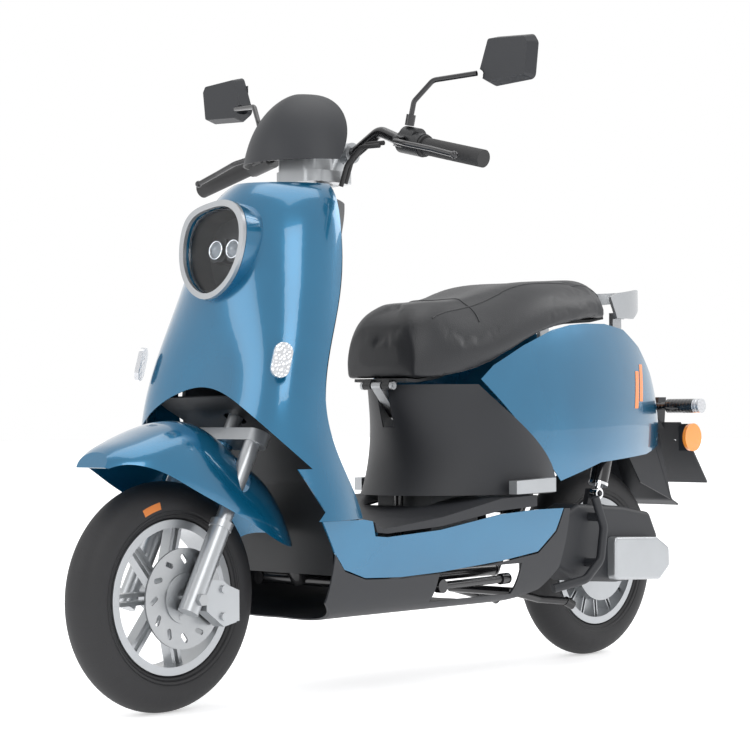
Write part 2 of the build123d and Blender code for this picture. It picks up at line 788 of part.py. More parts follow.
pan_line = [(x, low - 7) for x, low, high, half in cushion_rows]
with BuildPart() as seat_base:
    with BuildSketch(Plane(origin=(0, -70, 0), x_dir=(1, 0, 0), z_dir=(0, -1, 0))):
        with BuildLine():
            Polyline(*[(x, z) for x, z in pan_line])
        trace(line_width=6)
    extrude(amount=140, dir=(0, 1, 0))
    for side in (-1, 1):
        add(rod(at(hinge, side * 16), at(hinge, side * 34), 8))
        add(side_slab([(hinge[0] - 7, hinge[1]), (hinge[0] + 7, hinge[1]), (hinge[0] + 4, hinge[1] + 12), (hinge[0] - 10, hinge[1] + 12)], side * 25 - 9, side * 25 + 9))
    add(rod(at(hinge, -60), at(hinge, 60), 4 + running_fit), mode=Mode.SUBTRACT)
write(seat_base, "seat_base")

with BuildPart() as seat_hinge:
    add(rod(at(hinge, -44), at(hinge, 44), 4))
    for side in (-1, 1):
        add(rod(at(hinge, side * 36), at(hinge, side * 42), 8))
    add(rod(at(hinge, -12), at(hinge, 12), 8))
    add(
        side_slab(
            [(hinge[0] - 8, hinge[1]), (hinge[0] + 4, hinge[1] - 7), (post_x + 12, post_top + 0.3),
             (post_x - 10, post_top + 0.3), (post_x - 10, post_top + 8)],
            -12,
            12,
        )
    )
write(seat_hinge, "seat_hinge")

# ---------------------------------------------------------------------------
# Tail: side panels, tail cover, grab rail, lamps, mudguard
# ---------------------------------------------------------------------------
tail_rows = [
    (rear_axle_x - 172, 440, 560, 72),
    (rear_axle_x - 140, 430, 620, 94),
    (rear_axle_x - 60, 415, 690, 126),
    (rear_axle_x + 60, 400, 720, 156),
    (rear_axle_x + 200, 385, 722, 172),
    (rear_axle_x + 330, 380, 715, 172),
    (rear_axle_x + 470, 370, 700, 164),
    (rear_axle_x + 530, 370, 690, 158),
]


def flank_face(x, low_z, high_z, half, inset=0, extra=0):
    """An upright section of the tail: sides bowed outward, open above and below."""
    rise = high_z - low_z
    with BuildSketch(Plane.YZ.offset(x), mode=Mode.PRIVATE) as section:
        with BuildLine():
            Spline(
                (half * 0.95 - inset, low_z - extra),
                (half - inset, low_z + 0.36 * rise),
                (half * 0.80 - inset, high_z + extra),
            )
            Line((half * 0.80 - inset, high_z + extra), (-half * 0.80 + inset, high_z + extra))
            Spline(
                (-half * 0.80 + inset, high_z + extra),
                (-half + inset, low_z + 0.36 * rise),
                (-half * 0.95 + inset, low_z - extra),
            )
            Line((-half * 0.95 + inset, low_z - extra), (half * 0.95 - inset, low_z - extra))
        make_face()
    return section.sketch


flank_outline = [
    (front_edge_top[0] + 1, front_edge_top[1] + 4), tail(482, 622), tail(390, 662), tail(293, 696),
    tail(210, 712), tail(100, 714), tail(20, 704), tail(-50, 668), tail(-110, 610), tail(-150, 540),
    tail(-171, 458), tail(-60, 436), tail(157, 423), (front_edge_low[0] - 1, front_edge_low[1] - 4),
]
with BuildPart() as side_panels:
    loft(sections=[flank_face(*row) for row in tail_rows])
    inside = [flank_face(*row, inset=panel, extra=12) for row in tail_rows]
    inside[0] = flank_face(tail_rows[0][0] - 5, *tail_rows[0][1:], inset=panel, extra=12)
    inside[-1] = flank_face(tail_rows[-1][0] + 5, *tail_rows[-1][1:], inset=panel, extra=12)
    loft(sections=inside, mode=Mode.SUBTRACT)
    add(side_slab(flank_outline, -body_half, body_half), mode=Mode.INTERSECT)
write(side_panels, "side_panels")

with BuildPart() as tail_cover:
    add(side_strip([tail(20, 694), tail(-50, 660), tail(-112, 600), tail(-154, 530), tail(-172, 456)], 40, panel, 48))
write(tail_cover, "tail_cover")

with BuildPart() as grab_rail:
    with BuildSketch(Plane.XY.offset(695)):
        with BuildLine():
            Spline(
                (rear_axle_x + 60, 118), (rear_axle_x - 40, 108), (rear_axle_x - 96, 62), (rear_axle_x - 110, 0),
                (rear_axle_x - 96, -62), (rear_axle_x - 40, -108), (rear_axle_x + 60, -118),
            )
        trace(line_width=7)
    extrude(amount=110)
    add(
        side_slab([tail(62, 772), tail(44, 728), tail(-20, 728), tail(-130, 778), tail(-130, 792), tail(-40, 792), tail(40, 782)], -150, 150),
        mode=Mode.INTERSECT,
    )
    for side in (-1, 1):
        add(side_slab([tail(34, 727), tail(34, 645), tail(4, 645), tail(4, 740), tail(34, 740)], side * 100 - 5, side * 100 + 5))
        add(side_slab([tail(34, 727), tail(34, 740), tail(4, 740), tail(4, 727)], side * 104 - 9, side * 104 + 9))
        add(side_slab([tail(34, 645), tail(34, 652), tail(4, 652), tail(4, 645)], side * 93 - 12, side * 93 + 12))
write(grab_rail, "grab_rail")

with BuildPart() as rear_lenses:
    add(side_slab([tail(-154, 600), tail(-170, 540), tail(-186, 540), tail(-166, 606)], -44, 44))
    for side in (-1, 1):
        add(rod(at(tail(-240, 470), side * 112), at(tail(-240, 470), side * 120), 31))
write(rear_lenses, "rear_lenses")

indicator_z = 622
with BuildPart() as indicators:
    for side in (-1, 1):
        stalk = tail(-208, 540)
        add(rod(at(stalk, side * 46.3), at(stalk, side * 76), 8))
        add(rod(at(stalk, side * 76), at(stalk, side * 165), 16))
        with BuildSketch(
            Plane(origin=(front_axle_x - 119, side * 186, indicator_z), x_dir=(-0.28, 0, 0.96), z_dir=(0.5, side * 0.85, 0.15))
        ):
            SlotOverall(64, 34)
        extrude(amount=8)
write(indicators, "indicators")

guard_y = 60
plate_hole_gap = 120
plate_hole_radius = 3.2
plate = Plane(origin=at(tail(-278, 436), 0), x_dir=(0, 1, 0), z_dir=(-0.8, 0, 0.6))
with BuildPart() as rear_mudguard:
    add(side_strip([tail(-180, 446), tail(-236, 330), tail(-262, 318)], 14, panel, 62))
    for side in (-1, 1):
        add(side_slab([tail(-40, 480), tail(-190, 480), tail(-236, 330), tail(-120, 372)], side * guard_y - 1.5, side * guard_y + 1.5))
    add(side_slab([tail(-190, 520), tail(-206, 520), tail(-206, 420), tail(-190, 420)], -20, 20))
    add(side_slab([tail(-204, 520), tail(-212, 560), tail(-240, 560), tail(-232, 490)], -46, 46))
    with BuildSketch(plate):
        Rectangle(190, 170)
    extrude(amount=-4)
    with BuildSketch(plate):
        with Locations((-plate_hole_gap / 2, -36), (plate_hole_gap / 2, -36)):
            Circle(plate_hole_radius)
    extrude(amount=-6, mode=Mode.SUBTRACT)
    for side in (-1, 1):
        add(side_slab([tail(-228, 500), tail(-250, 500), tail(-252, 450), tail(-228, 440)], side * 100 - 12, side * 100 + 12))
write(rear_mudguard, "rear_mudguard")

# ---------------------------------------------------------------------------
# Handlebar and what it carries
# ---------------------------------------------------------------------------
bar_centre = on_steer(0, 0, bar_height)
bar_x = bar_centre.X
bar_z = bar_centre.Z
grip_in = Vector(bar_x + 3, 172, bar_z + 12)
grip_out = Vector(bar_x + 7, 380, bar_z - 40)
grip_dir = (grip_out - grip_in).normalized()


def mirrored(point, side):
    """The same place on the chosen side of the machine."""
    return Vector(point.X, point.Y * side, point.Z)


def on_grip(distance, side=1, lift=0, ahead=0):
    """A point along the grip's own line, measured out from its inner end."""
    spot = grip_in + grip_dir * distance
    return Vector(spot.X + ahead, spot.Y * side, spot.Z + lift)


grip_start = 62
grip_end = 214

with BuildPart() as handlebar:
    route = [
        on_grip(grip_end - 6), grip_in, Vector(bar_x - 4, 112, bar_z + 36), Vector(bar_x, 50, bar_z),
    ]
    left = tube(route, 26, bar_radius)
    add(left)
    add(mirror(left, about=Plane.XZ, mode=Mode.PRIVATE))
    add(rod(Vector(bar_x, -52, bar_z), Vector(bar_x, 52, bar_z), bar_radius))
write(handlebar, "handlebar")


for side, label in ((1, "grip_left"), (-1, "throttle_grip")):
    with BuildPart() as grip:
        add(rod(on_grip(grip_start, side), on_grip(grip_end, side), grip_radius))
        add(rod(on_grip(grip_start, side), on_grip(grip_start + 5, side), grip_radius + 4))
        add(
            rod(on_grip(grip_start - 10, side), on_grip(grip_end - 5, side), bar_radius + running_fit),
            mode=Mode.SUBTRACT,
        )
    write(grip, label)

button_radius = 5
with BuildPart() as switch_housings:
    for side in (-1, 1):
        add(rod(on_grip(6, side), on_grip(grip_start - 0.5, side), 22))
        add(rod(on_grip(10, side, 8, -4), on_grip(44, side, 8, -4), 22))
        add(rod(on_grip(12, side, 0, 26), on_grip(34, side, 0, 26), 11))
        add(
            rod(on_grip(-10, side), on_grip(grip_start + 10, side), bar_radius + running_fit),
            mode=Mode.SUBTRACT,
        )
        add(
            rod(on_grip(23, side, -30, 36), on_grip(23, side, 30, 36), 4 + running_fit),
            mode=Mode.SUBTRACT,
        )
        add(rod(on_grip(24, side, 6, -40), on_grip(24, side, 6, -22), button_radius + 0.3), mode=Mode.SUBTRACT)
        with Locations(on_grip(23, side, 0, 38)):
            Box(34, 30, 11.6, mode=Mode.SUBTRACT)
    with Locations(on_grip(42, 1, 2, -26)):
        Box(14, 20, 7, mode=Mode.SUBTRACT)
write(switch_housings, "switch_housings")

for side, label in ((1, "brake_lever_left"), (-1, "brake_lever_right")):
    with BuildPart() as lever:
        add(rod(on_grip(23, side, -8, 36), on_grip(23, side, 8, 36), 4))
        add(rod(on_grip(23, side, -5, 36), on_grip(23, side, 5, 36), 6.5))
        add(
            tube(
                [on_grip(23, side, 0, 40), on_grip(60, side, 0, 52), on_grip(120, side, 0, 44), on_grip(176, side, -2, 42)],
                30,
                5,
            )
        )
        with Locations(on_grip(178, side, -2, 42)):
            Sphere(7)
    write(lever, label)

stem_base = on_grip(27, 1, 32, 4)
mirror_centre = Vector(bar_x - 60, 378, bar_z + 150)
with BuildPart() as mirror_stems:
    for side in (-1, 1):
        base = mirrored(stem_base, side)
        stem_points = [
            base,
            base + Vector(0, side * 12, 44),
            base + Vector(-18, side * 44, 82),
            mirrored(mirror_centre, side) + Vector(22, side * -52, -24),
        ]
        add(rod(base, base + Vector(0, side * 5, 20), 9))
        add(tube(stem_points, 16, 5))
write(mirror_stems, "mirror_stems")

mirror_shape = [(-66, -30), (-38, 46), (56, 40), (66, 24), (58, -42), (-36, -46)]
for side, label in ((1, "mirror_left"), (-1, "mirror_right")):
    with BuildPart() as head:
        face = Plane(origin=mirrored(mirror_centre, side) + Vector(-14, 0, 0), x_dir=(0, side, 0), z_dir=(1, 0, 0))
        with BuildSketch(face):
            with BuildLine():
                FilletPolyline(*[(x, z * side) for x, z in mirror_shape], radius=12, close=True)
            make_face()
        extrude(amount=26, taper=14)
        add(
            rod(
                mirrored(mirror_centre, side) + Vector(22, side * -52, -24),
                mirrored(mirror_centre, side) + Vector(-8, side * -52, -24),
                9,
            ),
            mode=Mode.SUBTRACT,
        )
    write(head, label)

cowl_rows = [
    (1000, bar_x + 118, 124, bar_x + 168, 84, bar_x + 196),
    (1045, bar_x + 92, 118, bar_x + 156, 80, bar_x + 188),
    (1090, bar_x + 78, 96, bar_x + 138, 64, bar_x + 166),
    (1122, bar_x + 76, 58, bar_x + 112, 42, bar_x + 134),
    (1134, bar_x + 84, 20, bar_x + 98, 14, bar_x + 108),
]
with BuildPart() as cowl:
    add(d_shell(cowl_rows, panel, open_low=5))
write(cowl, "cowl")

with BuildPart() as bar_cover:
    with BuildSketch(Plane.XY.offset(966)):
        with Locations((bar_x + 62, 0)):
            RectangleRounded(118, 116, 28)
    extrude(amount=22)
    with BuildSketch(Plane.XY.offset(988)):
        with Locations((bar_x + 84, 0)):
            RectangleRounded(74, 96, 20)
    extrude(amount=40)
    add(rod(on_steer(0, 0, 840), on_steer(0, 0, bar_height + 30), steerer_radius + 12), mode=Mode.SUBTRACT)
write(bar_cover, "bar_cover")

with BuildPart() as dash_display:
    with BuildSketch(Plane(origin=(bar_x + 72, 0, 1080), x_dir=(0, 1, 0), z_dir=(-0.62, 0, 0.78))):
        RectangleRounded(128, 72, 12)
    extrude(amount=-18)
    add(rod(Vector(bar_x + 88, 0, 1028.3), Vector(bar_x + 88, 0, 1056), 14))
write(dash_display, "dash_display")

cable_radius = 4.5
cable_route = [
    Vector(bar_x + 26, 150, bar_z + 8), Vector(bar_x + 34, 110, bar_z + 8), Vector(bar_x + 40, 78, bar_z - 24),
    Vector(bar_x + 44, 66, bar_z - 64),
]
with BuildPart() as bar_cables:
    for side in (-1, 1):
        for shift in (0, 12):
            add(tube([mirrored(p, side) + Vector(shift, 0, -shift / 2) for p in cable_route], 24, cable_radius))
write(bar_cables, "bar_cables")

with BuildPart() as horn_button:
    add(rod(on_grip(24, 1, 6, -34), on_grip(24, 1, 6, -25.5), button_radius))
write(horn_button, "horn_button")
with BuildPart() as starter_button:
    add(rod(on_grip(24, -1, 6, -34), on_grip(24, -1, 6, -25.5), button_radius))
write(starter_button, "starter_button")
with BuildPart() as turn_switch:
    with Locations(on_grip(42, 1, 2, -26)):
        Box(7, 12, 6)
write(turn_switch, "turn_switch")

with BuildPart() as key:
    add(rod(Vector(front_axle_x - 396, -62, 800), Vector(front_axle_x - 425, -62, 800), 6))
    with Locations((front_axle_x - 434, -62, 800)):
        Box(20, 3, 22)
write(key, "key")

# ---------------------------------------------------------------------------
# Rear suspension and drive casing
# ---------------------------------------------------------------------------
arm_y = 66
eye_pin = 5
eye_play = 2
with BuildPart() as swingarm:
    add(rod(at(pivot, -bracket_y + 4), at(pivot, bracket_y - 4), 19))
    for side in (-1, 1):
        add(rod(at(pivot, side * 54), at(pivot, side * 76), 19))
        add(side_slab([tail(312, 273), tail(150, 248), tail(-6, 228), tail(-24, 205), tail(-6, 184), tail(150, 204), tail(312, 236)], side * arm_y - 9, side * arm_y + 9))
    add(side_slab([tail(140, 236), tail(100, 226), tail(100, 246), tail(140, 254)], -112, -60))
    add(side_slab([tail(142, 236), tail(98, 226), tail(104, 366), tail(122, 366)], -108, -96))
    add(rod(at(shock_eye, -96), at(shock_eye, -130), eye_pin))
    add(drum(rear_axle, rear_axle_radius + running_fit, -120, 120), mode=Mode.SUBTRACT)
    add(rod(at(pivot, -100), at(pivot, 100), 7 + running_fit), mode=Mode.SUBTRACT)
write(swingarm, "swingarm")

with BuildPart() as rear_axle_bolt:
    add(drum(rear_axle, rear_axle_radius, -88, 83))
    with BuildSketch(Plane(origin=rear_axle, x_dir=(1, 0, 0), z_dir=(0, -1, 0)).offset(arm_y + 9)):
        RegularPolygon(14, 6)
    extrude(amount=10)
write(rear_axle_bolt, "rear_axle")

case_outline = [
    tail(319, 296), tail(212, 338), tail(60, 328), tail(-36, 312), tail(-64, 262), tail(-56, 206),
    tail(-20, 172), tail(77, 168), tail(217, 178), tail(319, 228),
]
case_in = 84
case_out = 150
with BuildPart() as motor_case:
    add(side_slab(case_outline, case_in, case_out))
    fillet(motor_case.edges().filter_by(Axis.Y), 14)
    fillet(motor_case.faces().sort_by(Axis.Y)[-1].edges(), 12)
    add(tube([at(tail(193, 352), 176), at(tail(172, 290), 182), at(tail(184, 222), 182), at(tail(226, 184), 176), at(tail(300, 168), 150)], 30, 9))
    add(rod(at(tail(178, 310), case_out - 8), at(tail(178, 310), 180), 9))
    add(rod(at(tail(190, 216), case_out - 8), at(tail(190, 216), 180), 9))
    add(side_slab([tail(136, 318), tail(90, 318), tail(104, 366), tail(122, 366)], 96, 108))
    add(rod(at(shock_eye, 96), at(shock_eye, 130), eye_pin))
write(motor_case, "motor_case")

with BuildPart() as case_cover:
    add(side_slab([tail(118, 266), tail(-30, 260), tail(-74, 236), tail(-76, 196), tail(-40, 168), tail(118, 176)], case_out + 0.3, 172))
    fillet(case_cover.edges().filter_by(Axis.Y), 12)
    fillet(case_cover.faces().sort_by(Axis.Y)[-1].edges(), 6)
write(case_cover, "case_cover")

shock_vector = (at(shock_top, 0) - at(shock_eye, 0)).normalized()


def on_shock(distance, side):
    """A point up the damper from its lower eye."""
    return at(shock_eye, side * shock_y) + shock_vector * distance


shock_length = (at(shock_top, 0) - at(shock_eye, 0)).length
with BuildPart() as shock_bodies:
    for side in (-1, 1):
        add(rod(on_shock(72, side), on_shock(shock_length, side), 12))
        add(rod(on_shock(shock_length - 34, side), on_shock(shock_length - 28, side), 21))
        add(rod(at(shock_top, side * shock_y - 10), at(shock_top, side * shock_y + 10), 14))
        add(rod(on_shock(60, side), on_shock(150, side), shock_rod_radius + running_fit), mode=Mode.SUBTRACT)
        add(rod(at(shock_top, side * shock_y - 20), at(shock_top, side * shock_y + 20), 8 + running_fit), mode=Mode.SUBTRACT)
write(shock_bodies, "shock_bodies")

with BuildPart() as shock_rods:
    for side in (-1, 1):
        add(rod(on_shock(0, side), on_shock(112, side), shock_rod_radius))
        add(rod(on_shock(18, side), on_shock(24, side), 21))
        add(rod(at(shock_eye, side * shock_y - 9), at(shock_eye, side * shock_y + 9), 12))
        add(
            rod(at(shock_eye, side * shock_y - 15), at(shock_eye, side * shock_y + 15), eye_pin + eye_play),
            mode=Mode.SUBTRACT,
        )
write(shock_rods, "shock_rods")

coil_radius = 17
wire_radius = 3
with BuildPart() as shock_springs:
    for side in (-1, 1):
        low = on_shock(24.5, side)
        add(rod(low, on_shock(shock_length - 34.5, side), coil_radius + wire_radius))
        add(rod(on_shock(20, side), on_shock(shock_length - 30, side), coil_radius - wire_radius), mode=Mode.SUBTRACT)
write(shock_springs, "shock_springs")

# ---------------------------------------------------------------------------
# Stands and passenger footrests
# ---------------------------------------------------------------------------
centre_pivot = tail(352, 162)
with BuildPart() as centre_stand:
    add(rod(at(centre_pivot, -84), at(centre_pivot, 84), 9))
    for side in (-1, 1):
        add(tube([at(centre_pivot, side * 84), at(tail(270, 142), side * 86), at(tail(188, 132), side * 104)], 30, 8))
        add(rod(at(tail(200, 134), side * 101), at(tail(180, 124), side * 104), 10))
    add(rod(at(centre_pivot, -100), at(centre_pivot, 100), 5 + running_fit), mode=Mode.SUBTRACT)
write(centre_stand, "centre_stand")

side_pivot = nose(-567, 196)
stand_y = 158
with BuildPart() as side_stand:
    add(rod(at(side_pivot, stand_y - 8), at(side_pivot, stand_y + 8), 13))
    add(rod(at(side_pivot, stand_y), at(tail(460, 199), stand_y - 2), 8))
    add(rod(at(tail(476, 198.7), stand_y - 1.7), at(tail(452, 199.2), stand_y - 2.1), 11))
write(side_stand, "side_stand")

for side, label in ((1, "footrest_left"), (-1, "footrest_right")):
    with BuildPart() as footrest:
        add(side_slab([tail(498, 368), tail(498, 394), tail(376, 398), tail(376, 370)], min(side * 200, side * 220), max(side * 200, side * 220)))
    write(footrest, label)
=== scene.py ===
import math

import bpy
from mathutils import Matrix, Vector
from mathutils.bvhtree import BVHTree


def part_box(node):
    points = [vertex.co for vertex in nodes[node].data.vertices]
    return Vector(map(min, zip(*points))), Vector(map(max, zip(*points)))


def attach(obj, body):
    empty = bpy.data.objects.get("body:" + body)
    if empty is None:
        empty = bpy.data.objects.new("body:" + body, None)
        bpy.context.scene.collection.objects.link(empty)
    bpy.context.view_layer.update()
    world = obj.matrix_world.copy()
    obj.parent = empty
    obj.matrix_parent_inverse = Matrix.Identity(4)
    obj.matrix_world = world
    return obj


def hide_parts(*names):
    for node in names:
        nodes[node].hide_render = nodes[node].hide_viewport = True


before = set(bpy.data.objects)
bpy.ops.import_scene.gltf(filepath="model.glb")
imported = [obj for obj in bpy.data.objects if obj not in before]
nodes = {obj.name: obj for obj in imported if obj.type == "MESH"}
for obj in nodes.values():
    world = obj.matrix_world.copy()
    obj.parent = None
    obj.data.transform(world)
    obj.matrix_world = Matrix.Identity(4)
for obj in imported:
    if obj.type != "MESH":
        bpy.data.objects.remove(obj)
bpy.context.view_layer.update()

# Camera and studio. A long lens stands low at the front left, a little under the seat's
# height, over a pale floor under large soft lamps.
camera_place = (3.1879, 2.9052, 0.530)
camera_yaw = math.radians(223.38)
camera_pitch = math.radians(0.955)
camera_roll = math.radians(-0.334)
floor_reach = 30
lamp_aim = Vector((0, 0, 0.6))
lamps = (
    ("key_lamp", (2.6, 3.8, 3.4), 2.4, 60),
    ("fill_lamp", (4.2, -1.5, 2.2), 2.2, 30),
    ("rim_lamp", (-3.4, 1.6, 3.0), 1.8, 40),
    ("top_lamp", (0.0, 0.0, 4.2), 3.0, 45),
)
camera_data = bpy.data.cameras.new("camera")
camera_data.lens = 103.19
camera_data.sensor_width = 36
camera_data.shift_x = -0.0028
camera_data.shift_y = 0.0018
camera_data.clip_end = 60
camera = bpy.data.objects.new("camera", camera_data)
bpy.context.collection.objects.link(camera)
camera.location = camera_place
look = Vector((
    math.cos(camera_pitch) * math.cos(camera_yaw),
    math.cos(camera_pitch) * math.sin(camera_yaw),
    math.sin(camera_pitch),
))
turn = look.to_track_quat("-Z", "Y").to_matrix().to_4x4()
camera.matrix_world = (
    Matrix.Translation(camera.location) @ turn @ Matrix.Rotation(camera_roll, 4, "Z")
)
bpy.context.scene.camera = camera


def new_object(name, mesh):
    """Put a mesh in the scene under a plain name."""
    piece = bpy.data.objects.new(name, mesh)
    bpy.context.collection.objects.link(piece)
    return piece


floor_mesh = bpy.data.meshes.new("floor")
floor_corners = [
    (-floor_reach, -floor_reach, 0), (floor_reach, -floor_reach, 0),
    (floor_reach, floor_reach, 0), (-floor_reach, floor_reach, 0),
]
floor_mesh.from_pydata(floor_corners, [], [(0, 1, 2, 3)])
studio_floor = new_object("studio_floor", floor_mesh)
floor_paint = bpy.data.materials.new("studio_floor")
floor_paint.use_nodes = True
floor_shader = floor_paint.node_tree.nodes["Principled BSDF"]
floor_shader.inputs["Base Color"].default_value = (0.92, 0.92, 0.93, 1)
floor_shader.inputs["Roughness"].default_value = 0.6
floor_shader.inputs["Emission Color"].default_value = (1, 1, 1, 1)
floor_shader.inputs["Emission Strength"].default_value = 0.45
floor_mesh.materials.append(floor_paint)

world = bpy.data.worlds.new("studio")
bpy.context.scene.world = world
world.use_nodes = True
world.node_tree.nodes["Background"].inputs["Color"].default_value = (1.0, 1.0, 1.0, 1)
world.node_tree.nodes["Background"].inputs["Strength"].default_value = 1.0
bpy.context.scene.view_settings.view_transform = "Standard"

for name, place, size, power in lamps:
    lamp_data = bpy.data.lights.new(name, "AREA")
    lamp_data.size = size
    lamp_data.energy = power
    lamp_object = bpy.data.objects.new(name, lamp_data)
    bpy.context.collection.objects.link(lamp_object)
    lamp_object.location = place
    aim = lamp_aim - Vector(place)
    lamp_object.rotation_euler = aim.to_track_quat("-Z", "Y").to_euler()


# Finishes. Each effect that several finishes share is one node group: it gives a mask
# or a height that changes over the surface, and the shader stays in the material.
def group_sockets(group, inputs, outputs):
    """Name a group's inputs and outputs."""
    for name, value in inputs:
        socket = group.interface.new_socket(name, in_out="INPUT", socket_type="NodeSocketFloat")
        socket.default_value = value
    for name, kind in outputs:
        group.interface.new_socket(name, in_out="OUTPUT", socket_type=kind)


def grain_group():
    """Fine moulded grain: a height and a soft colour mask, at a chosen scale."""
    group = bpy.data.node_groups.new("moulded_grain", "ShaderNodeTree")
    group_sockets(group, [("Scale", 900.0)], [("Height", "NodeSocketFloat"), ("Patch", "NodeSocketFloat")])
    tree = group.nodes
    start = tree.new("NodeGroupInput")
    end = tree.new("NodeGroupOutput")
    place = tree.new("ShaderNodeTexCoord")
    cells = tree.new("ShaderNodeTexVoronoi")
    cloud = tree.new("ShaderNodeTexNoise")
    cloud.inputs["Scale"].default_value = 9
    cloud.inputs["Detail"].default_value = 4
    link = group.links.new
    link(place.outputs["Object"], cells.inputs["Vector"])
    link(place.outputs["Object"], cloud.inputs["Vector"])
    link(start.outputs["Scale"], cells.inputs["Scale"])
    link(cells.outputs["Distance"], end.inputs["Height"])
    link(cloud.outputs["Fac"], end.inputs["Patch"])
    return group


def wear_group():
    """Handling wear: a mask that is high on outer edges and broken up by noise."""
    group = bpy.data.node_groups.new("edge_wear", "ShaderNodeTree")
    group_sockets(group, [("Amount", 0.5)], [("Mask", "NodeSocketFloat")])
    tree = group.nodes
    start = tree.new("NodeGroupInput")
    end = tree.new("NodeGroupOutput")
    shape = tree.new("ShaderNodeNewGeometry")
    ramp = tree.new("ShaderNodeValToRGB")
    ramp.color_ramp.elements[0].position = 0.54
    ramp.color_ramp.elements[1].position = 0.66
    noise = tree.new("ShaderNodeTexNoise")
    noise.inputs["Scale"].default_value = 60
    product = tree.new("ShaderNodeMath")
    product.operation = "MULTIPLY"
    scaled = tree.new("ShaderNodeMath")
    scaled.operation = "MULTIPLY"
    link = group.links.new
    link(shape.outputs["Pointiness"], ramp.inputs["Fac"])
    link(ramp.outputs["Color"], product.inputs[0])
    link(noise.outputs["Fac"], product.inputs[1])
    link(product.outputs[0], scaled.inputs[0])
    link(start.outputs["Amount"], scaled.inputs[1])
    link(scaled.outputs[0], end.inputs["Mask"])
    return group


grain = grain_group()
wear = wear_group()


def finish_material(name, dark, light, rough, rough_span=0.08, metal=0.0, grain_scale=900.0,
                    grain_depth=0.0, grain_lift=0.0002, worn=None, worn_amount=0.4, coat=0.0):
    """A painted, moulded or metal finish with colour drift, grain and edge wear."""
    material = bpy.data.materials.new(name)
    material.use_nodes = True
    tree = material.node_tree
    shader = tree.nodes["Principled BSDF"]
    shader.inputs["Metallic"].default_value = metal
    shader.inputs["Coat Weight"].default_value = coat
    shader.inputs["Coat Roughness"].default_value = 0.04
    body = tree.nodes.new("ShaderNodeGroup")
    body.node_tree = grain
    body.inputs["Scale"].default_value = grain_scale
    edges = tree.nodes.new("ShaderNodeGroup")
    edges.node_tree = wear
    edges.inputs["Amount"].default_value = worn_amount
    drift = tree.nodes.new("ShaderNodeMix")
    drift.data_type = "RGBA"
    drift.inputs[6].default_value = (*dark, 1)
    drift.inputs[7].default_value = (*light, 1)
    edge_mix = tree.nodes.new("ShaderNodeMix")
    edge_mix.data_type = "RGBA"
    edge_mix.inputs[7].default_value = (*(worn or light), 1)
    gloss = tree.nodes.new("ShaderNodeMapRange")
    gloss.inputs["To Min"].default_value = rough - rough_span
    gloss.inputs["To Max"].default_value = rough + rough_span
    bump = tree.nodes.new("ShaderNodeBump")
    bump.inputs["Strength"].default_value = grain_depth
    bump.inputs["Distance"].default_value = grain_lift
    link = tree.links.new
    link(body.outputs["Patch"], drift.inputs[0])
    link(drift.outputs[2], edge_mix.inputs[6])
    link(edges.outputs["Mask"], edge_mix.inputs[0])
    link(edge_mix.outputs[2], shader.inputs["Base Color"])
    link(body.outputs["Patch"], gloss.inputs["Value"])
    link(gloss.outputs["Result"], shader.inputs["Roughness"])
    link(body.outputs["Height"], bump.inputs["Height"])
    link(bump.outputs["Normal"], shader.inputs["Normal"])
    return material


blue_paint = finish_material("blue_paint", (0.002, 0.100, 0.205), (0.004, 0.135, 0.265), 0.24, 0.03,
                             metal=0.55, grain_scale=5200, grain_depth=0.12, grain_lift=0.00005, coat=1.0)
dark_plastic = finish_material("dark_plastic", (0.008, 0.009, 0.012), (0.014, 0.016, 0.020), 0.52, 0.06,
                               grain_scale=1400, grain_depth=0.35, worn=(0.03, 0.032, 0.036))
black_plastic = finish_material("black_plastic", (0.008, 0.009, 0.010), (0.016, 0.017, 0.019), 0.42, 0.06,
                                grain_scale=1600, grain_depth=0.25)
silver_paint = finish_material("silver_paint", (0.34, 0.355, 0.37), (0.44, 0.455, 0.47), 0.32, 0.05,
                               metal=0.75, grain_scale=4200, grain_depth=0.1, grain_lift=0.00005, coat=0.3)
brushed_steel = finish_material("brushed_steel", (0.30, 0.31, 0.32), (0.42, 0.43, 0.44), 0.33, 0.08,
                                metal=1.0, grain_scale=2600, grain_depth=0.15, grain_lift=0.00008)
chrome = finish_material("chrome", (0.80, 0.81, 0.83), (0.88, 0.89, 0.90), 0.10, 0.03, metal=1.0)
black_metal = finish_material("black_metal", (0.006, 0.006, 0.007), (0.014, 0.014, 0.016), 0.25, 0.05,
                              metal=0.3, grain_scale=3000, grain_depth=0.1, coat=0.5)
rubber = finish_material("rubber", (0.010, 0.010, 0.011), (0.020, 0.020, 0.021), 0.62, 0.08,
                         grain_scale=1500, grain_depth=0.3)
leather = finish_material("seat_leather", (0.007, 0.008, 0.010), (0.013, 0.014, 0.017), 0.46, 0.07,
                          grain_scale=520, grain_depth=0.6, grain_lift=0.0004)
amber = finish_material("amber_lens", (0.75, 0.20, 0.02), (0.90, 0.32, 0.04), 0.22, 0.05,
                        grain_scale=420, grain_depth=0.8, grain_lift=0.0006, coat=0.8)
screen = finish_material("screen", (0.004, 0.005, 0.006), (0.008, 0.010, 0.012), 0.12, 0.02, coat=1.0)
battery_case = finish_material("battery_case", (0.05, 0.055, 0.06), (0.08, 0.085, 0.09), 0.5, 0.06)
clear_lens = bpy.data.materials.new("clear_lens")
clear_lens.use_nodes = True
clear_shader = clear_lens.node_tree.nodes["Principled BSDF"]
clear_shader.inputs["Base Color"].default_value = (0.96, 0.98, 1.0, 1)
clear_shader.inputs["Roughness"].default_value = 0.03
clear_shader.inputs["Transmission Weight"].default_value = 1.0
clear_shader.inputs["IOR"].default_value = 1.3


